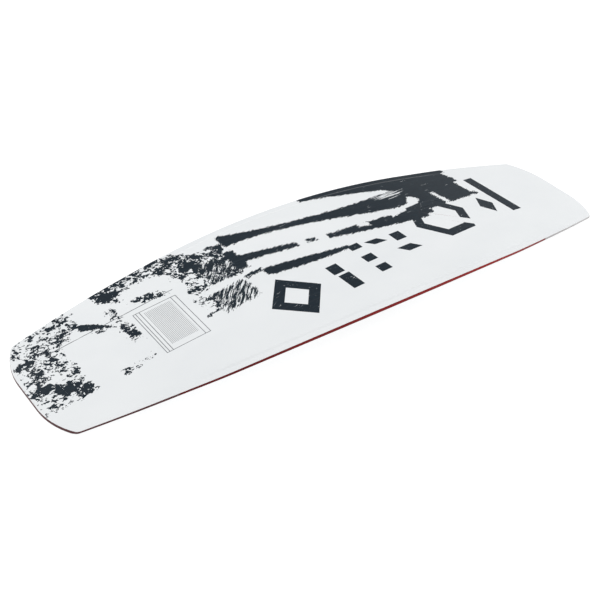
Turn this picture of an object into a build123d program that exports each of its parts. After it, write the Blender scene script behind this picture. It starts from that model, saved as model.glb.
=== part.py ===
from build123d import *
import math
import os

os.makedirs("parts", exist_ok=True)

# Wakeboard, stored base up. +X runs along the board towards its nose, +Y across it and
# +Z up out of the base. The origin is under the board's centre, at the height of the two
# tips it stands on. Millimetres throughout.

# Outline
TIP_X = 720.0                # half the length
HALF_WIDTH = 216.0           # half the width, at the middle
SHOULDER_X = 687.0           # where a rail turns into the tip's shoulder
SHOULDER_Y = 145.8
TIP_EDGE_Y = 41.5            # half the straight edge across a tip
CORNER_RADIUS = 14.0

# Rocker: a round middle that runs on into almost straight ends
ROCKER_RADIUS = 3150.0
ROCKER_ARC_X = 377.0
END_RADIUS = 20000.0

# Thickness, from base to deck
THICKNESS = 16.0             # between the feet
TIP_THICKNESS = 7.2
TAPER_START_X = 300.0
EDGE_HEIGHT = 8.8            # whole edge at the middle of a rail
TIP_EDGE_HEIGHT = 4.6
RAIL_SLOPE = 0.28            # underside next to the rail, rise per unit across
RAIL_SLOPE_WIDTH = 18.0
DECK_SLOPE = 0.09            # gentler slope between that and the flat deck

# Chine: a low step in the base along each rail, faded out before the tips
STEP_DEPTH = 2.0
STEP_INNER = 19.0            # distance in from the rail to the step's upper line
STEP_SLOPE = 0.4             # of its face, which falls towards the rail
STEP_FULL_X = 360.0
STEP_END_X = 500.0

# Layers
BASE_SHEET = 1.2
LOWER_GLASS = 0.6
UPPER_GLASS = 0.5
TOP_SHEET = 0.5

# Rail mouldings
RAIL_WIDTH = 12.0
TIP_RAIL_WIDTH = 25.0
SIDEWALL_END_X = 490.0
CORE_TIP_EDGE_Y = 80.0
CORE_SHOULDER_X = 679.9
CORE_SHOULDER_Y = 135.0
CORE_CORNER_RADIUS = 8.0

# Core strips: the lines between them, on one side of the centre line
STRIP_LINES = {"centre": 20.1, "inner": 60.2, "stringer": 92.2, "mid": 132.0, "outer": 172.0}

# Binding inserts
FOOT_X = 292.1               # centre of each foot's rows
ROW_Y = 76.2                 # half of the 152.4 mm between the two rows
PITCH = 25.4
ROW_COUNT = 6
BARREL_RADIUS = 5.5
FLANGE_RADIUS = 9.5
FLANGE_DEPTH = 2.4           # flange and its fillet, below the core's upper face
BORE_RADIUS = 2.5            # M6 thread drawn plain at its minor diameter
BORE_DEPTH = 12.5

# Construction margins
REACH_X = 760.0              # the surfaces run on past the tips
REACH_Y = 240.0              # and past the rails
DEEP = 120.0
TRIM = 3.0                   # length the layers cut off an insert at each end
CURVE_POINTS = 25


def smooth(t):
    """0 below t = 0, 1 above t = 1, with a soft start and finish."""
    t = min(max(t, 0.0), 1.0)
    return t * t * (3 - 2 * t)


def blend(a, b, t):
    return a + (b - a) * t


def rocker(x):
    """Drop of the base below its highest point."""
    x = abs(x)
    if x <= ROCKER_ARC_X:
        return ROCKER_RADIUS - math.sqrt(ROCKER_RADIUS**2 - x**2)
    arc_slope = ROCKER_ARC_X / math.sqrt(ROCKER_RADIUS**2 - ROCKER_ARC_X**2)
    run = x - ROCKER_ARC_X
    return rocker(ROCKER_ARC_X) + arc_slope * run + run**2 / (2 * END_RADIUS)


def thickness(x):
    t = smooth((abs(x) - TAPER_START_X) / (TIP_X - TAPER_START_X))
    return blend(THICKNESS, TIP_THICKNESS, t)


def edge_height(x):
    return blend(EDGE_HEIGHT, TIP_EDGE_HEIGHT, smooth(abs(x) / TIP_X))


def rail_half_width(x):
    """Half width of the board on its rail arc."""
    rise = HALF_WIDTH - SHOULDER_Y
    radius = (SHOULDER_X**2 + rise**2) / (2 * rise)
    return HALF_WIDTH - radius + math.sqrt(radius**2 - x**2)


CROWN = rocker(TIP_X) + TIP_THICKNESS        # height of the base at the board's centre


def base_z(x):
    return CROWN - rocker(x)


def lip_z(x):
    """The narrow lip below the step; past the step's end it would lie above the base."""
    if abs(x) < STEP_FULL_X:
        return base_z(x) - STEP_DEPTH
    return base_z(x) + blend(0, STEP_DEPTH, (abs(x) - STEP_END_X) / (STEP_END_X - STEP_FULL_X))


def step_z(x):
    """Height at the centre line of the slope that forms the step's face."""
    return base_z(x) + STEP_SLOPE * (rail_half_width(x) - STEP_INNER)


def deck_z(x):
    return base_z(x) - thickness(x)


def edge_z(x):
    """Bottom of the board's edge, along the rail."""
    return min(base_z(x), lip_z(x)) - edge_height(x)


def rail_slope_z(x):
    return edge_z(x) - RAIL_SLOPE * rail_half_width(x)


def deck_slope_z(x):
    knee_y = rail_half_width(x) - RAIL_SLOPE_WIDTH
    return rail_slope_z(x) + (RAIL_SLOPE - DECK_SLOPE) * knee_y


def swept_region(height, slope, closing_z):
    """The space between z = height(x) + slope * y and a far level."""
    step = 2 * REACH_X / (CURVE_POINTS - 1)
    points = [(-REACH_X + i * step, height(-REACH_X + i * step)) for i in range(CURVE_POINTS)]
    start = Plane(origin=(0, -REACH_Y, -slope * REACH_Y), x_dir=(1, 0, 0), z_dir=(0, -1, 0))
    closing = Polyline(points[-1], (REACH_X, closing_z), (-REACH_X, closing_z), points[0])
    face = start * make_face([Spline(*points), closing])
    across = Vector(0, 1, slope)
    return extrude(face, 2 * REACH_Y * across.length, dir=across.normalized())


def under_base():
    """Everything below the base surface: flat, step face and lip."""
    left_face = swept_region(step_z, -STEP_SLOPE, -DEEP)
    step_faces = left_face & mirror(left_face, about=Plane.XZ)
    return swept_region(base_z, 0, -DEEP) & (step_faces + swept_region(lip_z, 0, -DEEP))


def above_deck():
    """Everything above the deck surface: the flat and two slopes up to each rail."""
    region = swept_region(deck_z, 0, CROWN + DEEP)
    for height, slope in ((deck_slope_z, DECK_SLOPE), (rail_slope_z, RAIL_SLOPE)):
        left_slope = swept_region(height, slope, CROWN + DEEP)
        region = region & left_slope & mirror(left_slope, about=Plane.XZ)
    return region


def outline(tip_x, tip_edge_y, shoulder_x, shoulder_y, half_width, corner_radius):
    """Two rail arcs, two straight tips, and shoulder arcs that leave the tips square."""
    across = shoulder_y - tip_edge_y
    radius = ((tip_x - shoulder_x) ** 2 + across**2) / (2 * (tip_x - shoulder_x))
    half_turn = math.asin(across / radius) / 2
    mid_x = tip_x - radius + radius * math.cos(half_turn)
    mid_y = tip_edge_y + radius * math.sin(half_turn)
    edges = []
    for sx in (1, -1):
        edges.append(Line((sx * tip_x, -tip_edge_y), (sx * tip_x, tip_edge_y)))
        for sy in (1, -1):
            tip_end = (sx * tip_x, sy * tip_edge_y)
            corner = (sx * shoulder_x, sy * shoulder_y)
            edges.append(ThreePointArc(tip_end, (sx * mid_x, sy * mid_y), corner))
    for sy in (1, -1):
        corners = [(sx * shoulder_x, sy * shoulder_y) for sx in (-1, 1)]
        edges.append(ThreePointArc(corners[0], (0, sy * half_width), corners[1]))
    face = make_face(edges)
    sharp = [v for v in face.vertices() if abs(abs(v.X) - shoulder_x) < 1]
    return fillet(sharp, radius=corner_radius)


def prism(face):
    """The outline stood up as a block that spans the whole board's height."""
    return extrude(Pos(0, 0, -DEEP / 2) * face, CROWN + DEEP)


def slab(x0, x1, y0, y1):
    return Pos((x0 + x1) / 2, (y0 + y1) / 2, CROWN / 2) * Box(x1 - x0, y1 - y0, CROWN + DEEP)


def insert_places(sx, sy):
    """Centres of the six inserts in one row."""
    first = FOOT_X - PITCH * (ROW_COUNT - 1) / 2
    return [(sx * (first + i * PITCH), sy * ROW_Y) for i in range(ROW_COUNT)]


def upright(x, y, radius, low, high):
    return Pos(x, y, (low + high) / 2) * Cylinder(radius, high - low)


def insert_body(x, y):
    """A flanged barrel, left long at both ends so the board's faces can trim it."""
    top = base_z(x) - BASE_SHEET - LOWER_GLASS
    barrel = upright(x, y, BARREL_RADIUS, deck_z(x) - TRIM, top + TRIM)
    flange = upright(x, y, FLANGE_RADIUS, top - FLANGE_DEPTH, top + TRIM)
    return barrel + flange


def insert_bore(x, y):
    return upright(x, y, BORE_RADIUS, deck_z(x) - TRIM, deck_z(x) + BORE_DEPTH)


def save(name, shape):
    shapes = shape if isinstance(shape, list) else [shape]
    solids = [solid for item in shapes for solid in item.solids()]
    item = solids[0] if len(solids) == 1 else Compound(children=solids)
    item.label = name
    export_step(item, f"parts/{name}.step")
    print(name, len(solids), round(sum(s.volume for s in solids) / 1000, 2), "cm3")


base = under_base()
deck = above_deck()
outer = prism(
    outline(TIP_X, TIP_EDGE_Y, SHOULDER_X, SHOULDER_Y, HALF_WIDTH, CORNER_RADIUS)
)
inner = prism(
    outline(
        TIP_X - TIP_RAIL_WIDTH,
        CORE_TIP_EDGE_Y,
        CORE_SHOULDER_X,
        CORE_SHOULDER_Y,
        HALF_WIDTH - RAIL_WIDTH,
        CORE_CORNER_RADIUS,
    )
)

glass_top = Pos(0, 0, -BASE_SHEET) * base
core_top = Pos(0, 0, -BASE_SHEET - LOWER_GLASS) * base
glass_bottom = Pos(0, 0, TOP_SHEET) * deck
core_bottom = Pos(0, 0, TOP_SHEET + UPPER_GLASS) * deck

inserts = {}
for end, sx in (("nose", 1), ("tail", -1)):
    for side, sy in (("left", 1), ("right", -1)):
        inserts[f"inserts_{end}_{side}"] = insert_places(sx, sy)
bodies = {
    name: [(insert_body(x, y) & core_top) & deck for x, y in places]
    for name, places in inserts.items()
}
all_bodies = [body for group in bodies.values() for body in group]


def main():
    save("base_sheet", (outer & base) - glass_top)
    save("lower_laminate", (inner & glass_top) - core_top)
    save("upper_laminate", ((inner & glass_bottom) - core_bottom) - all_bodies)
    save("top_sheet", ((outer & deck) - glass_bottom) - all_bodies)
    save_rails((outer - inner) & glass_top & glass_bottom)
    save_strips((inner & core_top) & core_bottom)
    for name, group in bodies.items():
        bored = [body - insert_bore(x, y) for body, (x, y) in zip(group, inserts[name])]
        save(name, bored)


def save_rails(ring):
    side = HALF_WIDTH + RAIL_WIDTH
    wall = ring & slab(-SIDEWALL_END_X, SIDEWALL_END_X, 0, side)
    save("sidewall_left", wall)
    save("sidewall_right", mirror(wall, about=Plane.XZ))
    tip = ring & slab(SIDEWALL_END_X, REACH_X, -side, side)
    save("tip_rail_nose", tip)
    save("tip_rail_tail", mirror(tip, about=Plane.YZ))


def save_strips(core):
    half = STRIP_LINES["centre"]
    save("core_centre", core & slab(-TIP_X, TIP_X, -half, half))
    lines = list(STRIP_LINES.values()) + [HALF_WIDTH]
    names = ["core_inner", "core_stringer", "core_mid", "core_outer", "core_edge"]
    for name, near, far in zip(names, lines, lines[1:]):
        strip = core & slab(-TIP_X, TIP_X, near, far)
        if name == "core_stringer":
            strip = strip - all_bodies
        save(f"{name}_left", strip)
        save(f"{name}_right", mirror(strip, about=Plane.XZ))


main()
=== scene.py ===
import math

import bmesh
import bpy
import numpy as np
from mathutils import Matrix, Vector
from mathutils.geometry import delaunay_2d_cdt


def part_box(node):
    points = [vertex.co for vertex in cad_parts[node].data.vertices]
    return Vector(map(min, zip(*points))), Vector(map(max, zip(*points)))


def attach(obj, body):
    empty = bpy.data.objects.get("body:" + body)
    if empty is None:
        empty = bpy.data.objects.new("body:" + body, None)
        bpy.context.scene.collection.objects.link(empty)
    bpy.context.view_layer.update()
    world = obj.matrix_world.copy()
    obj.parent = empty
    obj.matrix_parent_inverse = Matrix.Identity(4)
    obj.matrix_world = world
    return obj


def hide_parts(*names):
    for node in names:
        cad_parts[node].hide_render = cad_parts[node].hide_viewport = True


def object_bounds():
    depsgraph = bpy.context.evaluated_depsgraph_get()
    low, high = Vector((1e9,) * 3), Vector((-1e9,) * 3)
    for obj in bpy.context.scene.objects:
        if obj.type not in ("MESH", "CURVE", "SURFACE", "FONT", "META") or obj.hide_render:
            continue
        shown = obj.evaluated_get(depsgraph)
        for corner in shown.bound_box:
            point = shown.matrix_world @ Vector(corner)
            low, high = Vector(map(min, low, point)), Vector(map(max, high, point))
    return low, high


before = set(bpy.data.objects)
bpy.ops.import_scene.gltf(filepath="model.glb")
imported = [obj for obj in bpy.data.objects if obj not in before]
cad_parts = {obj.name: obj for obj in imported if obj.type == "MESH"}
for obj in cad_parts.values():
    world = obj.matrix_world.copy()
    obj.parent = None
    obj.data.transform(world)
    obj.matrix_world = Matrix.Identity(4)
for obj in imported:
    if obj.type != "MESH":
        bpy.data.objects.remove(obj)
cad_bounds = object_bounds()

MM = 0.001

# ---------------------------------------------------------------- board shape, in mm
TIP_X, HALF_WIDTH = 720.0, 216.0
SHOULDER_X, SHOULDER_Y, TIP_EDGE_Y = 687.0, 145.8, 41.5
CORNER_RADIUS = 14.0
ROCKER_RADIUS, ROCKER_ARC_X, END_RADIUS = 3150.0, 377.0, 20000.0
THICKNESS, TIP_THICKNESS, TAPER_START_X = 16.0, 7.2, 300.0
EDGE_HEIGHT, TIP_EDGE_HEIGHT = 8.8, 4.6
RAIL_SLOPE, RAIL_SLOPE_WIDTH, DECK_SLOPE = 0.28, 18.0, 0.09
STEP_DEPTH, STEP_INNER, STEP_OUTER = 2.0, 19.4, 13.8
STEP_FULL_X, STEP_END_X = 360.0, 500.0
BASE_SHEET, LOWER_GLASS, TOP_SHEET = 1.2, 0.6, 0.5
RAIL_WIDTH = 12.0
SIDEWALL_END_X = 490.0
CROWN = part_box("base_sheet")[1].z / MM

GRID = 6.0
INSERT_FIRST_X, INSERT_PITCH, INSERT_ROW_Y, INSERT_COUNT = 228.6, 25.4, 76.2, 6
BARREL_RADIUS, BORE_RADIUS, BORE_DEPTH = 5.5, 2.5, 12.5
FLANGE_RADIUS, FLANGE_THICKNESS = 9.5, 2.4
CHAMFER, MOUTH_WIDENING, MOUTH_FLARE, MOUTH_DEPTH = 0.25, 0.8, 0.3, 0.5
THREAD_START, THREAD_DEPTH, THREAD_TURNS, TURN_STEPS, BARREL_SEGMENTS = 0.6, 0.45, 12, 6, 28
HOLE_SEGMENTS, HOLE_COLLAR, HOLE_ROOM = 32, 1.5, 3
DECK_BLEND = 4.0  # how sharply the deck's flat turns into its slopes, per mm
RIM_CLEARANCE = 5.0

# Distances in from the outline where the sheets have edge loops, and in from the rails where
# their surface turns most
BASE_RINGS, BASE_EDGE_RADIUS = [0.25, 0.6, 1.2, 4.0], 0.6
BASE_LINES, BASE_LINES_REACH = [20.6, 19.7, 19.1, 18, 16.6, 15.2, 14.1, 13.5, 12.6], 560
DECK_RINGS, DECK_EDGE_RADIUS = [0.2, 0.45, 1.2, 4.0], 0.45
DECK_LINES, DECK_LINES_REACH = [9.3, 12, 15, 18, 21, 26, 34, 42, 50], 690

# Section of the rail moulding: depth in from the outline in mm, and share of its height
RAIL_PROFILE = [
    (0.35, 0.0), (0.10, 0.06), (0.0, 0.16), (0.0, 0.5), (0.0, 0.84), (0.10, 0.94),
    (0.35, 1.0), (RAIL_WIDTH, 1.0), (RAIL_WIDTH, 0.0),
]


def smooth(t):
    t = np.clip(t, 0.0, 1.0)
    return t * t * (3 - 2 * t)


def rocker(x):
    x = np.abs(x)
    arc_x = np.minimum(x, ROCKER_ARC_X)
    drop = ROCKER_RADIUS - np.sqrt(ROCKER_RADIUS**2 - arc_x**2)
    slope = ROCKER_ARC_X / math.sqrt(ROCKER_RADIUS**2 - ROCKER_ARC_X**2)
    run = np.maximum(x - ROCKER_ARC_X, 0)
    return drop + slope * run + run**2 / (2 * END_RADIUS)


def rail_half_width(x):
    rise = HALF_WIDTH - SHOULDER_Y
    radius = (SHOULDER_X**2 + rise**2) / (2 * rise)
    return HALF_WIDTH - radius + np.sqrt(radius**2 - x**2)


def step_depth(x):
    return STEP_DEPTH * (1 - smooth((np.abs(x) - STEP_FULL_X) / (STEP_END_X - STEP_FULL_X)))


def base_z(x, y):
    """Height of the base surface, with its soft step down near each rail."""
    into = (np.abs(y) - (rail_half_width(x) - STEP_INNER)) / (STEP_INNER - STEP_OUTER)
    face = 0.25 * smooth(into) + 0.75 * np.clip(into, 0, 1)
    return CROWN - rocker(x) - step_depth(x) * face


def thickness(x):
    t = smooth((np.abs(x) - TAPER_START_X) / (TIP_X - TAPER_START_X))
    return THICKNESS + (TIP_THICKNESS - THICKNESS) * t


def edge_bottom_z(x):
    height = EDGE_HEIGHT + (TIP_EDGE_HEIGHT - EDGE_HEIGHT) * smooth(np.abs(x) / TIP_X)
    return CROWN - rocker(x) - step_depth(x) - height


def deck_z(x, y):
    """Height of the deck surface: flat, then rounding up to each rail."""
    w = rail_half_width(x)
    flat = CROWN - rocker(x) - thickness(x)
    rail = edge_bottom_z(x) - RAIL_SLOPE * (w - np.abs(y))
    knee = edge_bottom_z(x) - RAIL_SLOPE * RAIL_SLOPE_WIDTH
    gentle = knee - DECK_SLOPE * (w - RAIL_SLOPE_WIDTH - np.abs(y))
    stack = np.stack([flat, rail, gentle]) * DECK_BLEND
    top = stack.max(axis=0)
    soft = top + np.log(np.exp(stack - top).sum(axis=0))
    return soft / DECK_BLEND


# ---------------------------------------------------------------- outline
def arc(centre, radius, start, end, spacing):
    count = max(2, int(abs(end - start) * radius / spacing) + 1)
    angles = np.linspace(start, end, count)
    return np.stack([centre[0] + radius * np.cos(angles), centre[1] + radius * np.sin(angles)], 1)


def meet(c1, r1, c2, r2):
    """The crossing of two circles that lies towards the nose and the left rail."""
    c1, c2 = np.array(c1), np.array(c2)
    gap = np.linalg.norm(c2 - c1)
    along = (gap**2 + r1**2 - r2**2) / (2 * gap)
    off = math.sqrt(max(r1**2 - along**2, 0))
    unit = (c2 - c1) / gap
    normal = np.array([unit[1], -unit[0]])
    return max((c1 + along * unit + s * off * normal for s in (1, -1)), key=lambda p: p[0] + p[1])


def outline_points(spacing=5.0):
    """The closed outline, anticlockwise from the nose's middle."""
    rise = HALF_WIDTH - SHOULDER_Y
    rail_r = (SHOULDER_X**2 + rise**2) / (2 * rise)
    rail_c = (0.0, HALF_WIDTH - rail_r)
    run, across = TIP_X - SHOULDER_X, SHOULDER_Y - TIP_EDGE_Y
    tip_r = (run**2 + across**2) / (2 * run)
    tip_c = (TIP_X - tip_r, TIP_EDGE_Y)
    f = meet(rail_c, rail_r - CORNER_RADIUS, tip_c, tip_r - CORNER_RADIUS)
    a_tip = math.atan2(f[1] - tip_c[1], f[0] - tip_c[0])
    a_rail = math.atan2(f[1] - rail_c[1], f[0] - rail_c[0])
    edge = np.stack([np.full(9, TIP_X), np.linspace(0, TIP_EDGE_Y, 9)], 1)
    quarter = np.concatenate(
        [
            edge[:-1],
            arc(tip_c, tip_r, 0, a_tip, spacing)[:-1],
            arc(f, CORNER_RADIUS, a_tip, a_rail, 1.2)[:-1],
            arc(rail_c, rail_r, a_rail, math.pi / 2, spacing),
        ]
    )
    left = np.concatenate([quarter, (quarter * [-1, 1])[::-1][1:]])
    right = (left * [1, -1])[::-1][1:-1]
    return np.concatenate([left, right])


def normals_of(loop):
    """Outward unit normals of a closed anticlockwise loop."""
    tangent = np.roll(loop, -1, 0) - np.roll(loop, 1, 0)
    tangent /= np.linalg.norm(tangent, axis=1)[:, None]
    return np.stack([tangent[:, 1], -tangent[:, 0]], 1)


OUTLINE = outline_points()
OUTWARD = normals_of(OUTLINE)


def inset(distance):
    return OUTLINE - OUTWARD * distance


def inside_distance(points):
    """Distance in from the outline, negative outside it."""
    best = np.full(len(points), 1e9)
    sign = np.ones(len(points))
    nxt = np.roll(OUTLINE, -1, 0)
    for a, b, n in zip(OUTLINE, nxt, OUTWARD):
        d = b - a
        t = np.clip(((points - a) @ d) / (d @ d), 0, 1)
        off = points - (a + t[:, None] * d)
        dist = np.linalg.norm(off, axis=1)
        closer = dist < best
        best = np.where(closer, dist, best)
        sign = np.where(closer, np.where(off @ n > 0, -1.0, 1.0), sign)
    return best * sign


# ---------------------------------------------------------------- mesh building
def new_piece(name, verts, faces, replaced, smooth_angle=35):
    mesh = bpy.data.meshes.new(name)
    mesh.from_pydata([tuple(v) for v in np.asarray(verts) * MM], [], faces)
    mesh.validate()
    obj = bpy.data.objects.new(name, mesh)
    bpy.context.scene.collection.objects.link(obj)
    bm = bmesh.new()
    bm.from_mesh(mesh)
    bmesh.ops.recalc_face_normals(bm, faces=bm.faces)
    bm.to_mesh(mesh)
    bm.free()
    mesh.shade_smooth()
    mesh.set_sharp_from_angle(angle=math.radians(smooth_angle))
    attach(obj, "root")
    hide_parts(*replaced)
    return obj


def insert_centres():
    xs = [INSERT_FIRST_X + i * INSERT_PITCH for i in range(INSERT_COUNT)]
    return [(sx * x, sy * INSERT_ROW_Y) for sx in (1, -1) for sy in (1, -1) for x in xs]


def rail_lines(offsets, reach):
    """Lines parallel to each rail, where the surface turns most, kept clear of the rim."""
    lines = []
    xs = np.arange(-reach, reach + 1, 10.0)
    for side in (1, -1):
        for off in offsets:
            line = np.stack([xs, side * (rail_half_width(xs) - off)], 1)
            lines.append(line[inside_distance(line) > RIM_CLEARANCE])
    return lines


def sheet_mesh(edge_rings, lines, holes, shapes, spacing):
    """A triangulated flat sheet: (points, triangles, outline index loop, hole index loops)."""
    points, edges = [], []

    def add(loop, closed):
        start = len(points)
        points.extend(Vector(p) for p in loop)
        n = len(loop)
        edges.extend((start + i, start + (i + 1) % n) for i in range(n if closed else n - 1))
        return range(start, start + n)

    rim = add(OUTLINE, True)
    for distance in edge_rings:
        add(inset(distance), True)
    for line in lines:
        add(line, False)
    for shape in shapes:
        add(shape, True)
    hole_loops = []
    for cx, cy in holes:
        angles = np.arange(HOLE_SEGMENTS) * 2 * math.pi / HOLE_SEGMENTS
        ring = np.stack([np.cos(angles), np.sin(angles)], 1)
        hole_loops.append(add(ring * BARREL_RADIUS + [cx, cy], True))
        add(ring * (BARREL_RADIUS + HOLE_COLLAR) + [cx, cy], True)
    xs = np.arange(-TIP_X + spacing / 2, TIP_X, spacing)
    ys = np.arange(-HALF_WIDTH + spacing / 2, HALF_WIDTH, spacing)
    grid = np.array([(x, y) for x in xs for y in ys])
    room = inside_distance(grid)
    keep = room > max(edge_rings) + spacing * 0.5
    for line_set in lines:
        side = np.sign(line_set[0][1])
        near = np.abs(grid[:, 1] - np.interp(grid[:, 0], line_set[:, 0], line_set[:, 1]))
        keep &= ~((near < spacing * 0.3) & (np.sign(grid[:, 1]) == side))
    for cx, cy in holes:
        keep &= np.hypot(grid[:, 0] - cx, grid[:, 1] - cy) > BARREL_RADIUS + HOLE_ROOM
    points.extend(Vector(p) for p in grid[keep])
    out, _, tris, origin, _, _ = delaunay_2d_cdt(points, edges, [], 0, 1e-4)
    flat = np.array([tuple(v) for v in out])
    where = {}
    for new, olds in enumerate(origin):
        for old in olds:
            where[old] = new
    middle = np.array([flat[list(t)].mean(axis=0) for t in tris])
    inner = inside_distance(middle) > 0
    for cx, cy in holes:
        inner &= np.hypot(middle[:, 0] - cx, middle[:, 1] - cy) > BARREL_RADIUS * 0.99
    tris = [tuple(t) for t, ok in zip(tris, inner) if ok]
    loops = [[where[i] for i in loop] for loop in [rim] + hole_loops]
    return flat, tris, loops


def sheet_piece(
    name, replaced, height, level, up, edge_rings, edge_radius, lines, holes, shapes=()
):
    """A closed skin: its shown face follows height(), its far face lies level away from it."""
    flat, tris, loops = sheet_mesh(edge_rings, lines, holes, shapes, GRID)
    z = height(flat[:, 0], flat[:, 1])
    inward = inside_distance(flat)
    miss = np.clip(edge_radius - inward, 0, edge_radius)
    rounding = edge_radius - np.sqrt(np.maximum(edge_radius**2 - miss**2, 0))
    shown = np.column_stack([flat, z - up * rounding])
    far = np.column_stack([flat, z - up * level])
    n = len(flat)
    faces = list(tris) + [(c + n, b + n, a + n) for a, b, c in tris]
    for loop in loops:
        for a, b in zip(loop, loop[1:] + loop[:1]):
            faces.append((a, b, b + n, a + n))
    used = sorted({i for f in faces for i in f})
    remap = {old: new for new, old in enumerate(used)}
    verts = np.concatenate([shown, far])[used]
    faces = [tuple(remap[i] for i in f) for f in faces]
    return new_piece(name, verts, faces, replaced)


def rail_piece(name, replaced, keep):
    """A moulding along part of the outline, slightly crowned, with fine joint grooves."""
    index = np.nonzero(keep)[0]
    gap = np.nonzero(np.diff(index) > 1)[0]
    if len(gap):
        index = np.concatenate([index[gap[0] + 1:], index[: gap[0] + 1]])
    verts, faces = [], []
    for i in index:
        p, n = OUTLINE[i], OUTWARD[i]
        for depth, t in RAIL_PROFILE:
            q = p - n * depth
            low = deck_z(q[0:1], q[1:2])[0] + TOP_SHEET
            high = base_z(q[0:1], q[1:2])[0] - BASE_SHEET
            verts.append((q[0], q[1], low + (high - low) * t))
    m = len(RAIL_PROFILE)
    for r in range(len(index) - 1):
        for k in range(m):
            a, b = r * m + k, r * m + (k + 1) % m
            faces.append((a, b, b + m, a + m))
    faces.append(tuple(range(m)))
    faces.append(tuple(reversed(range((len(index) - 1) * m, len(index) * m))))
    return new_piece(name, verts, faces, replaced)


def rail_split():
    """Outline stations with a cut exactly where each sidewall meets a tip rail."""
    global OUTLINE, OUTWARD
    points = [tuple(p) for p in OUTLINE]
    for sx in (1, -1):
        for sy in (1, -1):
            x = sx * SIDEWALL_END_X
            cut = (x, sy * float(rail_half_width(x)))
            near = min(range(len(points)), key=lambda i: math.dist(points[i], cut))
            points[near] = cut
    OUTLINE = np.array(points)
    OUTWARD = normals_of(OUTLINE)


def insert_piece(name, replaced, centres):
    """Flanged barrels with a chamfered mouth and a real helical thread."""
    around = BARREL_SEGMENTS
    verts, faces = [], []
    angles = np.arange(around) * 2 * math.pi / around
    for cx, cy in centres:
        deck = float(deck_z(np.array([cx]), np.array([cy]))[0])
        top = CROWN - float(rocker(cx)) - BASE_SHEET - LOWER_GLASS
        rings = [
            (FLANGE_RADIUS, top), (FLANGE_RADIUS, top - FLANGE_THICKNESS),
            (BARREL_RADIUS, top - FLANGE_THICKNESS), (BARREL_RADIUS, deck + CHAMFER),
            (BARREL_RADIUS - CHAMFER, deck), (BORE_RADIUS + MOUTH_WIDENING, deck),
            (BORE_RADIUS + MOUTH_FLARE, deck + MOUTH_DEPTH),
        ]
        rows = []
        for radius, z in rings:
            rows.append((np.full(around, radius), np.full(around, z)))
        count = THREAD_TURNS * TURN_STEPS
        for i in range(count + 1):
            z = deck + THREAD_START + i * (BORE_DEPTH - 2 * THREAD_START) / count
            phase = (i / TURN_STEPS - angles / (2 * math.pi)) % 1.0
            ridge = 1 - np.abs(2 * phase - 1)
            rows.append((BORE_RADIUS + THREAD_DEPTH * (1 - ridge), np.full(around, z)))
        rows.append((np.full(around, BORE_RADIUS), np.full(around, deck + BORE_DEPTH)))
        start = len(verts)
        tilt = float(deck_z(np.array([cx + 1.0]), np.array([cy]))[0]) - deck
        for k, (radius, z) in enumerate(rows):
            for j in range(around):
                dx, dy = radius[j] * math.cos(angles[j]), radius[j] * math.sin(angles[j])
                lean = dx * tilt if k == 0 or 3 <= k <= 6 else 0.0
                verts.append((cx + dx, cy + dy, z[j] + lean))
        for r in range(len(rows) - 1):
            for j in range(around):
                a, b = start + r * around + j, start + r * around + (j + 1) % around
                faces.append((a, b, b + around, a + around))
        faces.append(tuple(start + j for j in range(around)))
        last = start + (len(rows) - 1) * around
        faces.append(tuple(last + j for j in reversed(range(around))))
    return new_piece(name, verts, faces, replaced, 40)


# ---------------------------------------------------------------- printed marks, as outlines
def turned(points, cx, cy, degrees):
    a = math.radians(degrees)
    points = np.asarray(points, float)
    return np.stack(
        [
            cx + points[:, 0] * math.cos(a) - points[:, 1] * math.sin(a),
            cy + points[:, 0] * math.sin(a) + points[:, 1] * math.cos(a),
        ],
        1,
    )


def bar(cx, cy, hx, hy, degrees=4, shear=0.0):
    corners = [(hx + shear, hy), (-hx + shear, hy), (-hx - shear, -hy), (hx - shear, -hy)]
    return turned(corners, cx, cy, degrees)


def diamond(cx, cy, hx, hy, degrees=4):
    return turned([(hx, 0), (0, hy), (-hx, 0), (0, -hy)], cx, cy, degrees)


def hexagon(cx, cy, radius, degrees=8):
    angles = np.arange(6) * math.pi / 3
    return turned(np.stack([radius * np.cos(angles), radius * np.sin(angles)], 1), cx, cy, degrees)


def within(points, polygon):
    """Which points lie inside a polygon."""
    x, y = points[:, 0], points[:, 1]
    inside = np.zeros(len(points), bool)
    for (x0, y0), (x1, y1) in zip(polygon, np.roll(polygon, -1, 0)):
        crosses = (y0 > y) != (y1 > y)
        at = (x1 - x0) * (y - y0) / (y1 - y0 + 1e-12) + x0
        inside ^= crosses & (x < at)
    return inside


# Plain figures, none of them a letter; each is (outline, hole or None)
HEX, HEX_HOLE, SLOT = hexagon(318, -4, 84), hexagon(318, -4, 56), bar(318, -4, 11, 110, 52)
MARKS = [
    (diamond(-152, -86, 66, 72), diamond(-152, -86, 33, 36)),
    (bar(-31, -57, 15, 16), None),
    (bar(-24, -106, 15, 26), None),
    (bar(60, -61, 15, 12), None),
    (bar(65, -105, 15, 12), None),
    (bar(57, -12, 15, 10), None),
    (bar(171, -24, 15, 15), None),
    (bar(166, -73, 20, 11, 4, -9), None),
    (bar(112, -18, 18, 9, 0, -9), None),
    (HEX, HEX_HOLE),
    (diamond(470, -2, 22, 36), None),
    (bar(523, 34, 14, 84), None),
]
MARK_LOOPS = [loop for pair in MARKS for loop in pair if loop is not None] + [SLOT]


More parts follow.
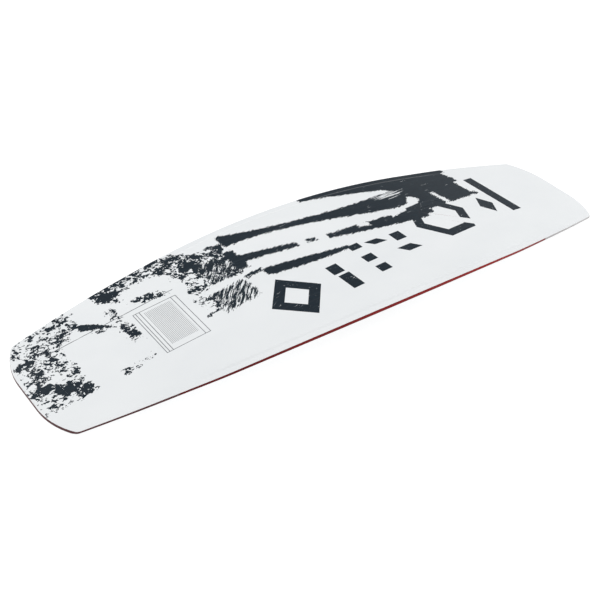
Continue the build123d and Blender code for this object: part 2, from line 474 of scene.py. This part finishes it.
rail_split()
ON_SIDEWALL = np.abs(OUTLINE[:, 0]) <= SIDEWALL_END_X + 0.01
LEFT = OUTLINE[:, 1] > 0
base = sheet_piece(
    "base_skin", ["base_sheet"], base_z, BASE_SHEET, 1,
    BASE_RINGS, BASE_EDGE_RADIUS, rail_lines(BASE_LINES, BASE_LINES_REACH), [], MARK_LOOPS,
)
deck = sheet_piece(
    "deck_skin", ["top_sheet"], deck_z, TOP_SHEET, -1,
    DECK_RINGS, DECK_EDGE_RADIUS, rail_lines(DECK_LINES, DECK_LINES_REACH), insert_centres(),
)
side_left = rail_piece("side_left", ["sidewall_left"], ON_SIDEWALL & LEFT)
side_right = rail_piece("side_right", ["sidewall_right"], ON_SIDEWALL & ~LEFT)
ON_TIP = np.abs(OUTLINE[:, 0]) >= SIDEWALL_END_X - 0.01
nose = rail_piece("nose_rail", ["tip_rail_nose"], ON_TIP & (OUTLINE[:, 0] > 0))
tail = rail_piece("tail_rail", ["tip_rail_tail"], ON_TIP & (OUTLINE[:, 0] < 0))
centres = insert_centres()
insert_rows = {}
for k, row in enumerate(["nose_left", "nose_right", "tail_left", "tail_right"]):
    insert_rows[row] = insert_piece(
        f"insert_row_{row}", [f"inserts_{row}"], centres[k * INSERT_COUNT:(k + 1) * INSERT_COUNT]
    )


# ---------------------------------------------------------------- shader arithmetic
class Field:
    """A value that varies over a surface: a socket that answers to ordinary arithmetic."""

    def __init__(self, tree, socket):
        self.tree, self.socket = tree, socket

    def math(self, operation, *others):
        node = self.tree.nodes.new("ShaderNodeMath")
        node.operation = operation
        for slot, value in zip(node.inputs, (self, *others)):
            plug(self.tree, slot, value)
        return Field(self.tree, node.outputs[0])

    def __add__(self, other):
        return self.math("ADD", other)

    def __sub__(self, other):
        return self.math("SUBTRACT", other)

    def __mul__(self, other):
        return self.math("MULTIPLY", other)

    def __truediv__(self, other):
        return self.math("DIVIDE", other)

    def __neg__(self):
        return self.math("MULTIPLY", -1.0)

    def __abs__(self):
        return self.math("ABSOLUTE")

    __radd__ = __add__
    __rmul__ = __mul__

    def low(self, other):
        return self.math("MINIMUM", other)

    def high(self, other):
        return self.math("MAXIMUM", other)

    def ramp(self, start, end):
        """0 at start, 1 at end, straight between and flat beyond."""
        node = self.tree.nodes.new("ShaderNodeMapRange")
        plug(self.tree, node.inputs["Value"], self)
        node.inputs["From Min"].default_value = start
        node.inputs["From Max"].default_value = end
        return Field(self.tree, node.outputs["Result"])


def plug(tree, slot, value):
    if isinstance(value, Field):
        tree.links.new(value.socket, slot)
    else:
        slot.default_value = value


class Surface:
    """A material whose pattern is written in the board's own millimetres."""

    def __init__(self, name, roughness=0.4, coat=0.0):
        self.material = bpy.data.materials.new(name)
        self.material.use_nodes = True
        self.tree = self.material.node_tree
        self.shader = self.tree.nodes["Principled BSDF"]
        self.shader.inputs["Roughness"].default_value = roughness
        self.shader.inputs["Coat Weight"].default_value = coat
        coords = self.tree.nodes.new("ShaderNodeTexCoord")
        self.metres = Field(self.tree, coords.outputs["Object"])
        self.point = self.local(0, 0, 0, MM, MM, MM)
        self.x, self.y, self.z = self.split(self.point)

    def local(self, cx, cy, degrees, sx, sy, sz=1.0, source=None):
        """The point seen from (cx, cy), turned and divided by a size."""
        node = self.tree.nodes.new("ShaderNodeMapping")
        node.vector_type = "TEXTURE"
        plug(self.tree, node.inputs["Vector"], source or self.metres)
        node.inputs["Location"].default_value = (cx, cy, 0)
        node.inputs["Rotation"].default_value = (0, 0, math.radians(degrees))
        node.inputs["Scale"].default_value = (sx, sy, sz)
        return Field(self.tree, node.outputs[0])

    def split(self, vector):
        node = self.tree.nodes.new("ShaderNodeSeparateXYZ")
        plug(self.tree, node.inputs[0], vector)
        return [Field(self.tree, out) for out in node.outputs]

    def noise(
        self, sx, sy=None, detail=4.0, rough=0.6, degrees=0.0, seed=0.0, sz=None, distort=0.0
    ):
        """Noise of 0 to 1 about 0.5, whose lumps are about sx by sy millimetres."""
        sy = sx if sy is None else sy
        sz = sx if sz is None else sz
        node = self.tree.nodes.new("ShaderNodeTexNoise")
        where = self.local(seed * 37.0, seed * 11.0, degrees, sx, sy, sz, self.point)
        plug(self.tree, node.inputs["Vector"], where)
        node.inputs["Scale"].default_value = 1.0
        node.inputs["Detail"].default_value = detail
        node.inputs["Roughness"].default_value = rough
        node.inputs["Distortion"].default_value = distort
        return Field(self.tree, node.outputs["Fac"])

    def carried(self, name):
        """A slow field that the mesh carries at its vertices."""
        node = self.tree.nodes.new("ShaderNodeAttribute")
        node.attribute_name = name
        return Field(self.tree, node.outputs["Fac"])

    def box(self, cx, cy, hx, hy):
        """Distance outside an upright rectangle."""
        return (abs(self.x - cx) - hx).high(abs(self.y - cy) - hy)

    def mix(self, low, high, factor):
        """A colour between two, each a colour or a Field of one."""
        node = self.tree.nodes.new("ShaderNodeMix")
        node.data_type = "RGBA"
        plug(self.tree, node.inputs["Factor"], factor)
        for slot, value in ((node.inputs[6], low), (node.inputs[7], high)):
            plug(self.tree, slot, value if isinstance(value, Field) else (*value, 1.0))
        return Field(self.tree, node.outputs[2])

    def finish(self, colour, roughness=None, height=None, depth=0.02, strength=1.0):
        plug(self.tree, self.shader.inputs["Base Color"], colour)
        if roughness is not None:
            plug(self.tree, self.shader.inputs["Roughness"], roughness)
        if height is not None:
            bump = self.tree.nodes.new("ShaderNodeBump")
            bump.inputs["Strength"].default_value = strength
            bump.inputs["Distance"].default_value = depth * MM
            plug(self.tree, bump.inputs["Height"], height)
            self.tree.links.new(bump.outputs[0], self.shader.inputs["Normal"])
        return self.material


def edge(distance, soft=0.5):
    """1 inside a shape given by its distance field, 0 outside."""
    return distance.ramp(soft, -soft)


def srgb(r, g, b):
    """A colour given on a 0 to 255 scale."""
    channels = (c / 255.0 for c in (r, g, b))
    return tuple(c / 12.92 if c <= 0.04045 else ((c + 0.055) / 1.055) ** 2.4 for c in channels)


NAVY, NAVY_LIGHT = srgb(4, 22, 33), srgb(22, 40, 51)
WHITE, WHITE_LIGHT = srgb(212, 215, 217), srgb(221, 223, 224)
RED, DEEP_RED, DULL_RED = srgb(150, 7, 0), srgb(88, 0, 2), srgb(126, 62, 62)
SMOKE, PALE_SMOKE = srgb(80, 44, 46), srgb(182, 179, 180)
PAULOWNIA = (srgb(226, 203, 162), srgb(198, 166, 118))
POPLAR = (srgb(196, 160, 112), srgb(150, 110, 68))


# ---------------------------------------------------------------- base graphics
def turned_axes(x, y, cx, cy, degrees):
    a = math.radians(degrees)
    dx, dy = x - cx, y - cy
    return dx * math.cos(a) + dy * math.sin(a), dy * math.cos(a) - dx * math.sin(a)


def rectangle(x, y, cx, cy, hx, hy, degrees=0.0):
    """Distance outside a turned rectangle."""
    u, v = turned_axes(x, y, cx, cy, degrees)
    return np.maximum(np.abs(u) - hx, np.abs(v) - hy)


def spot(x, y, cx, cy, rx, ry, degrees=0.0, soft=0.75):
    """1 in the middle of an ellipse, fading to 0 at its edge."""
    u, v = turned_axes(x, y, cx, cy, degrees)
    return smooth((1 - np.hypot(u / rx, v / ry)) / soft)


def patch(x, y, cx, cy, rx, ry, degrees=0.0, soft=0.1):
    """The same in a rectangle, with a crisper edge."""
    u, v = turned_axes(x, y, cx, cy, degrees)
    return smooth((1 - np.maximum(np.abs(u) / rx, np.abs(v) / ry)) / soft)


def stroke(x, y, top, bottom, start, end):
    """Distance outside a long stroke between two curves y = poly(x)."""
    across = np.maximum(y - np.polyval(top, x), np.polyval(bottom, x) - y)
    return np.maximum(across, np.maximum(start - x, x - end))


def stroke_field(x, y):
    """Distance outside the brush work: five strokes and the wide field they run into."""
    parts = [
        stroke(x, y, (0.00052, -0.150, 145), (1.2e-6, -0.00027, -0.205, 123), -183, 330),
        stroke(x, y, (-0.23, 62), (-0.14, 50), -190, -42),
        stroke(x, y, (-0.16, 8), (0.0006, -0.01, -11), -160, 60),
        stroke(x, y, (-0.03, 61), (0.00035, -0.245, 52), 32, 300),
        stroke(x, y, (0.0, 300), (-0.235, 218), 62, 486),
        rectangle(x, y, -187, 92, 13, 36),
        rectangle(x, y, -182, 31, 22, 5.5, 3),
        rectangle(x, y, -8, 61, 13, 6, -10),
        rectangle(x, y, 385, 116, 102, 74, 5),
        rectangle(x, y, 262, 30, 60, 13, 4),
    ]
    ink = np.min(parts, axis=0)
    gaps = [
        rectangle(x, y, 302, 78, 14, 24, -38),
        rectangle(x, y, 255, 62, 44, 8, 14),
        rectangle(x, y, 384, 71, 6, 26, 10),
        rectangle(x, y, 488, 150, 9, 20, 25),
        rectangle(x, y, 484, 92, 9, 28, 8),
        rectangle(x, y, 132, 53, 14, 9, -4),
    ]
    return np.maximum(ink, -np.min(gaps, axis=0))


# Print density over the tail third, as rectangles and soft spots: centre, half sizes, turn,
# softness, and the coverage: 0 for bare, 0.5 for half covered and 0.9 for solid
PATCHES = [
    (-662, 2, 58, 86, 0, 0.12, 0.45), (-622, 126, 74, 48, 10, 0.12, 0.46),
    (-484, 62, 20, 92, 4, 0.5, 0.44), (-404, 176, 100, 27, 4, 0.12, 0.60),
    (-262, 142, 78, 50, -22, 0.2, 0.60), (-258, 82, 66, 36, -4, 0.12, 0.46),
    (-312, 0, 30, 52, 0, 0.5, 0.44), (-508, -60, 66, 14, 9, 0.5, 0.38),
]
SPOTS = [
    (-692, -4, 46, 34, -10, 0.7, 0.74), (-650, -28, 54, 34, -18, 0.7, 0.77),
    (-624, -62, 44, 26, 10, 0.8, 0.70), (-688, 76, 48, 30, 12, 0.8, 0.68),
    (-590, 150, 64, 26, 6, 0.8, 0.70), (-606, 104, 54, 36, -30, 0.9, 0.60),
    (-690, 118, 30, 30, 0, 0.8, 0.62), (-534, 92, 74, 13, -36, 0.6, 0.88),
    (-524, 76, 26, 20, 0, 0.8, 0.74), (-474, 32, 26, 52, 10, 0.8, 0.73),
    (-462, 158, 40, 50, 0, 0.7, 0.84), (-336, 142, 46, 36, -20, 0.8, 0.74),
    (-286, 130, 60, 42, 16, 0.8, 0.78), (-300, 182, 64, 28, -16, 0.8, 0.72),
    (-214, 118, 46, 50, -30, 0.8, 0.60), (-400, 100, 64, 20, -14, 0.6, 0.58),
    (-302, 54, 46, 24, -20, 0.7, 0.62),
]
CLEAR = [(-552, 6, 54, 60, 0, 0.12), (-402, 0, 62, 84, 0, 0.12)]
CLEAR_SPOTS = [
    (-390, 133, 68, 22, -4, 0.3), (-520, 140, 32, 40, 8, 0.3), (-250, 196, 50, 30, -25, 0.3),
]
SCUFFED = [(-254, -8, 54, 38, 6, 0.2), (-234, 84, 46, 40, -4, 0.2)]
WORN = [(258, 138, 95, 34, -14, 0.9), (300, 62, 60, 20, 8, 0.8)]


def densest(shape, places, x, y):
    """The greatest coverage that a list of (place..., coverage) gives each point."""
    return np.max([cover * shape(x, y, *place) for *place, cover in places], axis=0)


def widest(shape, places, x, y):
    return np.max([shape(x, y, *place) for place in places], axis=0)


FIELD_REACH = 60.0  # distance fields are carried this far, in mm, from the shapes' edges


def carry(obj, name, values):
    attribute = obj.data.attributes.new(name, "FLOAT", "POINT")
    attribute.data.foreach_set("value", values.astype(np.float32))


def vertex_xy(obj):
    co = np.empty(len(obj.data.vertices) * 3)
    obj.data.vertices.foreach_get("co", co)
    return co.reshape(-1, 3)[:, 0] / MM, co.reshape(-1, 3)[:, 1] / MM


def carry_base_fields(obj):
    x, y = vertex_xy(obj)
    carry(obj, "stroke", np.clip(stroke_field(x, y), -FIELD_REACH, FIELD_REACH))
    dense = np.maximum(densest(patch, PATCHES, x, y), densest(spot, SPOTS, x, y))
    clear = np.maximum(widest(patch, CLEAR, x, y), widest(spot, CLEAR_SPOTS, x, y))
    carry(obj, "splatter", dense * (1 - clear))
    carry(obj, "scuff", widest(patch, SCUFFED, x, y))
    carry(obj, "worn", widest(spot, WORN, x, y))


def paint_faces(obj, marks):
    """Shown faces inside a printed mark take the second material, and cut edges the third."""
    count = len(obj.data.polygons)
    centre, normal = np.empty(count * 3), np.empty(count * 3)
    obj.data.polygons.foreach_get("center", centre)
    obj.data.polygons.foreach_get("normal", normal)
    middle = centre.reshape(-1, 3)[:, :2] / MM
    marked = np.zeros(count, bool)
    for outer, hole in marks:
        shape = within(middle, outer)
        marked |= shape if hole is None else shape & ~within(middle, hole)
    marked &= ~(within(middle, SLOT) & within(middle, HEX))
    upright = np.abs(normal.reshape(-1, 3)[:, 2]) < 0.5
    marked &= normal.reshape(-1, 3)[:, 2] > 0.5
    obj.data.polygons.foreach_set("material_index", (marked * 1 + upright * 2).astype(np.int32))


TORN_DEPTH, FRAYED_DEPTH = 27.0, 6.0  # how far the strokes' edges wander, in mm


def brush_ink(s):
    """The torn edges of the strokes, and bristle marks where the brush ran dry."""
    teeth = s.noise(15, 4.5, detail=5, rough=0.78, degrees=24, seed=1)
    fine = s.noise(4.5, 2.0, detail=2, degrees=24, seed=2)
    distance = s.carried("stroke") + (teeth - 0.5) * TORN_DEPTH + (fine - 0.5) * FRAYED_DEPTH
    bristles = s.noise(70, 2.6, detail=3, rough=0.65, degrees=8, seed=4)
    worn = s.carried("worn")
    dry = (bristles + worn * 0.24).ramp(0.70, 0.72)
    return edge(distance, 0.4) * (-dry + 1.0)


def splatter_ink(s):
    """Specks and blots: three sizes of noise, cut off at a level set by the coverage."""
    blots = s.noise(28, 21, detail=3, rough=0.6, degrees=20, seed=7, distort=0.7)
    specks = s.noise(10.0, 8.0, detail=3, rough=0.6, degrees=-20, seed=8, distort=0.6)
    grit = s.noise(4.4, 3.6, detail=1, rough=0.6, seed=10)
    cover = s.carried("splatter")
    mixed = blots * 0.40 + specks * 0.42 + grit * 0.18
    ink = (mixed + cover * 0.27).ramp(0.636, 0.642) * cover.ramp(0.08, 0.14)
    scuff = s.carried("scuff")
    grain = s.noise(26, 3.4, detail=5, rough=0.72, degrees=46, seed=9, distort=0.4)
    return ink.high((grain + scuff * 0.185).ramp(0.645, 0.655) * scuff.ramp(0.10, 0.2))


PANEL_X, PANEL_HALF_X, PANEL_HALF_Y = -402, 50, 70
PANEL_RULES = (-446.0, -438.0, -363.0)
RULE_HALF, ROW_HALF, ROW_PITCH = 0.6, 0.5, 3.4


def panel_ink(s):
    """A plain ruled frame with no writing in it, and a thin broken line beside it."""
    lines = abs(s.box(PANEL_X, 0, PANEL_HALF_X, PANEL_HALF_Y)) - RULE_HALF
    for x in PANEL_RULES:
        lines = lines.low(s.box(x, 0, RULE_HALF, PANEL_HALF_Y))
    rows = abs((s.x / ROW_PITCH).math("FRACT") - 0.5) * ROW_PITCH - ROW_HALF
    rows = rows.high(s.box(-400, 4, 31, 58))
    panel = edge(lines, 0.35).high(edge(rows, 0.4) * 0.7)
    thin = abs(s.y - s.x * 0.043 - 104.5) - 0.7
    thin = edge(thin.high(s.box(-495, 80, 148, 40)), 0.4)
    return panel.high(thin * s.noise(30, 6, seed=12).ramp(0.35, 0.5))


def navy_tone(s):
    return s.mix(NAVY, NAVY_LIGHT, s.noise(14, 5, detail=5, rough=0.7, seed=21).ramp(0.5, 0.85))


def white_tone(s, drift):
    return s.mix(WHITE, WHITE_LIGHT, drift)


def finish_polyethylene(s, colour, ink):
    """The ground and waxed face of the base: long fine scratches over a soft gloss."""
    drift = s.noise(180, 90, detail=2, seed=20)
    hair = s.noise(160, 0.5, detail=3, rough=0.7, degrees=1.5, seed=23)
    cross = s.noise(90, 0.7, detail=2, rough=0.7, degrees=-9, seed=24)
    scratch = hair.ramp(0.62, 0.72).high(cross.ramp(0.68, 0.75) * 0.6)
    colour = s.mix(colour, srgb(205, 208, 212), scratch * 0.10)
    height = ink * 0.25 - scratch * 0.5 + s.noise(1.4, 1.1, seed=26) * 0.35
    return s.finish(colour, drift * 0.10 + scratch * 0.12 + 0.27, height, 0.05, 0.5)


def base_material():
    s = Surface("base_print")
    s.shader.inputs["Specular IOR Level"].default_value = 0.22
    ink = brush_ink(s).high(splatter_ink(s)).high(panel_ink(s))
    colour = s.mix(white_tone(s, s.noise(180, 90, detail=2, seed=20)), navy_tone(s), ink)
    return finish_polyethylene(s, colour, ink)


def mark_material():
    s = Surface("mark_print")
    s.shader.inputs["Specular IOR Level"].default_value = 0.22
    chips = s.noise(9, 3, detail=4, rough=0.7, degrees=20, seed=14).ramp(0.66, 0.69)
    colour = s.mix(navy_tone(s), srgb(217, 219, 221), chips)
    return finish_polyethylene(s, colour, -chips + 1.0)


def finish_moulding(s, colour):
    """Sanded plastic: lengthwise sanding lines, a few deeper nicks, and pores."""
    sanding = s.noise(60, 0.5, detail=3, rough=0.7, seed=31, sz=0.5)
    nicks = s.noise(5, 3, detail=3, rough=0.8, seed=32, sz=3).ramp(0.66, 0.72)
    pores = s.noise(0.9, detail=2, seed=33)
    colour = s.mix(colour, srgb(168, 120, 116), sanding.ramp(0.60, 0.80) * 0.06)
    rough = sanding * 0.18 + nicks * 0.15 + 0.34
    return s.finish(colour, rough, sanding * 0.6 - nicks + pores * 0.3, 0.06, 0.7)


def red_tone(s):
    """Red that is deeper towards the tail and duller at the nose end."""
    streaks = (s.noise(90, 3, detail=4, seed=30) - 0.5) * 0.4
    lively = s.mix(DEEP_RED, RED, s.x.ramp(-430, 520) + streaks)
    return s.mix(lively, DULL_RED, s.x.ramp(330, 500))


def smoke_tone(s):
    """Smoky plastic, darkest at the tail."""
    streaks = (s.noise(40, 6, detail=4, seed=34) - 0.5) * 0.3
    return s.mix(SMOKE, PALE_SMOKE, s.x.ramp(-520, 640) + streaks)


def sidewall_material(name):
    s = Surface(name)
    s.shader.inputs["Specular IOR Level"].default_value = 0.12
    return finish_moulding(s, red_tone(s))


def tip_rail_material(name):
    s = Surface(name)
    s.shader.inputs["Specular IOR Level"].default_value = 0.12
    return finish_moulding(s, smoke_tone(s))


def sheet_edge_material():
    """The sheets' cut edges, sanded together with the rails and coloured like them."""
    s = Surface("sheet_edge")
    s.shader.inputs["Specular IOR Level"].default_value = 0.2
    ends = abs(s.x).ramp(SIDEWALL_END_X - 1, SIDEWALL_END_X + 1)
    return finish_moulding(s, s.mix(red_tone(s), smoke_tone(s), ends))


# Plain slanted bars on the deck: centre and half sizes. All but the first also appear turned
# half round about the board's middle
DECK_TURN = 17
DECK_BARS = [
    (0, 0, 176, 44), (-26, 92, 118, 10), (492, 52, 92, 30), (560, -38, 70, 9), (430, -64, 48, 16),
]


def deck_bars(x, y):
    halves = DECK_BARS + [(-cx, -cy, hx, hy) for cx, cy, hx, hy in DECK_BARS[1:]]
    return np.min([rectangle(x, y, *bar_at, DECK_TURN) for bar_at in halves], axis=0)


def deck_material():
    """Gloss top sheet: pale ground, torn slanted bars, wear where the boots stand."""
    s = Surface("deck_print", coat=0.25)
    s.shader.inputs["Coat Roughness"].default_value = 0.12
    s.shader.inputs["Specular IOR Level"].default_value = 0.4
    teeth = s.noise(16, 8, detail=4, rough=0.7, degrees=DECK_TURN + 30, seed=40)
    bristles = s.noise(90, 2.6, detail=3, rough=0.65, degrees=DECK_TURN, seed=41)
    bars = edge(s.carried("bars") + (teeth - 0.5) * 16.0, 0.5) * (-bristles.ramp(0.64, 0.67) + 1.0)
    drift = s.noise(160, 90, detail=3, seed=42)
    ground = s.mix(srgb(206, 209, 212), srgb(224, 226, 227), drift)
    colour = s.mix(ground, navy_tone(s), bars)
    under_boots = s.carried("boots")
    rubbed = (s.noise(14, 9, detail=5, rough=0.75, seed=43) + under_boots * 0.12).ramp(0.60, 0.68)
    rubbed = rubbed * under_boots
    colour = s.mix(colour, srgb(176, 178, 180), rubbed * 0.35)
    hair = s.noise(110, 0.6, detail=3, rough=0.7, degrees=8, seed=44).ramp(0.64, 0.72)
    peel = s.noise(2.2, detail=2, seed=45)
    rough = drift * 0.08 + rubbed * 0.25 + hair * 0.1 + 0.2
    return s.finish(colour, rough, bars * 0.3 + peel * 0.4 - hair * 0.4 - rubbed * 0.3, 0.06, 0.5)


def steel_material():
    """Turned stainless steel, ground flush with the deck, with a little dried salt."""
    s = Surface("insert_steel_turned", 0.3)
    s.shader.inputs["Metallic"].default_value = 1.0
    turned_lines = s.noise(8, detail=2, seed=50, sz=0.25)
    ground_lines = s.noise(20, 0.4, detail=3, rough=0.7, degrees=12, seed=51)
    salt = s.noise(2.4, detail=4, rough=0.75, seed=52).ramp(0.58, 0.70)
    colour = s.mix(srgb(176, 177, 180), srgb(206, 206, 207), ground_lines)
    colour = s.mix(colour, srgb(158, 154, 146), salt * 0.5)
    rough = turned_lines * 0.12 + salt * 0.3 + 0.2
    return s.finish(colour, rough, turned_lines * 0.5 + ground_lines * 0.5, 0.03, 0.6)


def wood_material(name, pale, dark, seed):
    """Planed wood with its grain along the board: rings, fibres and short pores."""
    s = Surface(name)
    s.shader.inputs["Specular IOR Level"].default_value = 0.25
    rings = s.noise(420, 11, detail=2, rough=0.5, seed=seed, sz=16, distort=0.8)
    bands = (rings * 9.0).math("FRACT")
    bands = bands * (-bands + 1.0) * 4.0
    fibres = s.noise(70, 0.9, detail=4, rough=0.7, seed=seed + 1, sz=0.9)
    pores = s.noise(9, 0.45, detail=2, rough=0.7, seed=seed + 2, sz=0.45).ramp(0.66, 0.72)
    tone = bands * 0.5 + fibres * 0.5
    colour = s.mix(s.mix(pale, dark, tone), tuple(c * 0.45 for c in dark), pores * 0.6)
    return s.finish(colour, fibres * 0.2 + pores * 0.15 + 0.45, fibres * 0.6 - pores, 0.08, 0.7)


def laminate_material(name):
    """Resin over woven glass: two crossing sets of rovings, under and over in turn."""
    s = Surface(name, 0.3)
    s.shader.inputs["Coat Weight"].default_value = 0.3
    roving = 1.1
    warp = (s.x / roving * math.pi).math("SINE")
    weft = (s.y / roving * math.pi).math("SINE")
    over = (warp * weft).ramp(-0.3, 0.3)
    lengthwise = s.noise(6, 0.12, detail=2, seed=61)
    crosswise = s.noise(0.12, 6, detail=2, seed=62)
    fibres = lengthwise + (crosswise - lengthwise) * over
    colour = s.mix(srgb(168, 176, 160), srgb(214, 220, 206), fibres)
    rough = fibres * 0.15 + 0.25
    return s.finish(colour, rough, abs(warp).high(abs(weft)) * 0.6 + fibres * 0.4, 0.08, 0.6)


def carry_deck_fields(obj):
    x, y = vertex_xy(obj)
    carry(obj, "bars", np.clip(deck_bars(x, y), -FIELD_REACH, FIELD_REACH))
    feet = [(sx * 292, 0, 120, 165, 0, 0.8) for sx in (1, -1)]
    carry(obj, "boots", widest(spot, feet, x, y))


def dress_cad(node, material):
    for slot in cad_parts[node].material_slots:
        slot.material = material


def dress_hidden_layers():
    for node in ("lower_laminate", "upper_laminate"):
        dress_cad(node, laminate_material(f"{node}_weave"))
    strips = sorted(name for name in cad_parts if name.startswith("core_"))
    for k, node in enumerate(strips):
        pale, dark = POPLAR if "stringer" in node else PAULOWNIA
        dress_cad(node, wood_material(f"{node}_grain", pale, dark, 70 + 5 * k))


carry_base_fields(base)
paint_faces(base, MARKS)
for material in (base_material(), mark_material(), sheet_edge_material()):
    base.data.materials.append(material)
carry_deck_fields(deck)
paint_faces(deck, [])
for material in (deck_material(), mark_material(), sheet_edge_material()):
    deck.data.materials.append(material)
side_left.data.materials.append(sidewall_material("sidewall_left_sanded"))
side_right.data.materials.append(sidewall_material("sidewall_right_sanded"))
nose.data.materials.append(tip_rail_material("nose_rail_sanded"))
tail.data.materials.append(tip_rail_material("tail_rail_sanded"))
insert_finish = steel_material()
for obj in insert_rows.values():
    obj.data.materials.append(insert_finish)
dress_hidden_layers()


# ---------------------------------------------------------------- floor, light, camera
FLOOR_REACH, FLOOR_GLOW = 60.0, 0.76
CAMERA_ANGLES = (-37.467, 37.249, 2.985)  # azimuth, elevation and roll, in degrees
CAMERA_DISTANCE, CAMERA_SIDE, CAMERA_RISE = 2.428, -0.067, -0.105
CAMERA_SENSOR, CAMERA_LENS = 36.0, 66.68
# Brightness of the studio from the horizon and below it (0) to straight above (1)
STUDIO_LEVELS = [(0.0, 0.50), (0.2, 0.42), (0.42, 0.26), (0.70, 0.28), (0.88, 0.90), (1.0, 1.0)]
STUDIO_STRENGTH = 1.75


def floor_material():
    """A matt white sweep that glows a little, so that its shadows stay pale."""
    s = Surface("floor_paper", 0.9)
    s.shader.inputs["Specular IOR Level"].default_value = 0.0
    s.shader.inputs["Emission Color"].default_value = (1, 1, 1, 1)
    s.shader.inputs["Emission Strength"].default_value = FLOOR_GLOW
    return s.finish(s.mix((0.34, 0.34, 0.34), (0.36, 0.36, 0.36), s.noise(6, detail=3)))


def make_floor():
    mesh = bpy.data.meshes.new("floor")
    turns = ((-1, -1), (1, -1), (1, 1), (-1, 1))
    corners = [(FLOOR_REACH * sx, FLOOR_REACH * sy, 0) for sx, sy in turns]
    mesh.from_pydata(corners, [], [(0, 1, 2, 3)])
    mesh.materials.append(floor_material())
    floor = bpy.data.objects.new("floor", mesh)
    floor.location.z = cad_bounds[0][2]
    bpy.context.scene.collection.objects.link(floor)


def area_light(name, location, target, size, power):
    light = bpy.data.lights.new(name, "AREA")
    light.shape = "DISK"
    light.size = size
    light.energy = power
    obj = bpy.data.objects.new(name, light)
    obj.location = location
    direction = Vector(target) - Vector(location)
    obj.rotation_euler = direction.to_track_quat("-Z", "Y").to_euler()
    bpy.context.scene.collection.objects.link(obj)


def make_camera():
    azimuth, elevation, roll = (math.radians(a) for a in CAMERA_ANGLES)
    back = Vector((
        math.sin(azimuth) * math.cos(elevation),
        -math.cos(azimuth) * math.cos(elevation),
        math.sin(elevation),
    ))
    level = Vector((math.cos(azimuth), math.sin(azimuth), 0))
    up = back.cross(level)
    right = math.cos(roll) * level + math.sin(roll) * up
    up = -math.sin(roll) * level + math.cos(roll) * up
    crown = Vector((0, 0, CROWN * MM))
    place = back * CAMERA_DISTANCE + right * CAMERA_SIDE + up * CAMERA_RISE + crown
    data = bpy.data.cameras.new("camera")
    data.sensor_width = CAMERA_SENSOR
    data.lens = CAMERA_LENS
    camera = bpy.data.objects.new("camera", data)
    turn = Matrix((right, up, back)).transposed().to_4x4()
    camera.matrix_world = Matrix.Translation(place) @ turn
    bpy.context.scene.collection.objects.link(camera)
    bpy.context.scene.camera = camera


def make_world():
    """A soft studio: brightest overhead, dimmest half way up, middling at the horizon."""
    world = bpy.data.worlds.new("studio")
    world.use_nodes = True
    tree = world.node_tree
    coords = tree.nodes.new("ShaderNodeTexCoord")
    split = tree.nodes.new("ShaderNodeSeparateXYZ")
    ramp = tree.nodes.new("ShaderNodeValToRGB")
    tree.links.new(coords.outputs["Generated"], split.inputs[0])
    tree.links.new(split.outputs["Z"], ramp.inputs[0])
    points = ramp.color_ramp.elements
    for place, _ in STUDIO_LEVELS[1:-1]:
        points.new(place)
    for point, (place, level) in zip(points, STUDIO_LEVELS):
        point.position = place
        point.color = (level, level, level, 1)
    tree.links.new(ramp.outputs["Color"], tree.nodes["Background"].inputs["Color"])
    tree.nodes["Background"].inputs["Strength"].default_value = STUDIO_STRENGTH
    bpy.context.scene.world = world
    bpy.context.scene.view_settings.view_transform = "Standard"


make_floor()
make_world()
area_light("key", (-1.6, 2.2, 2.1), (0, 0, 0), 1.6, 30)
area_light("fill", (2.6, -0.8, 2.0), (0.4, 0, 0), 2.0, 26)
make_camera()
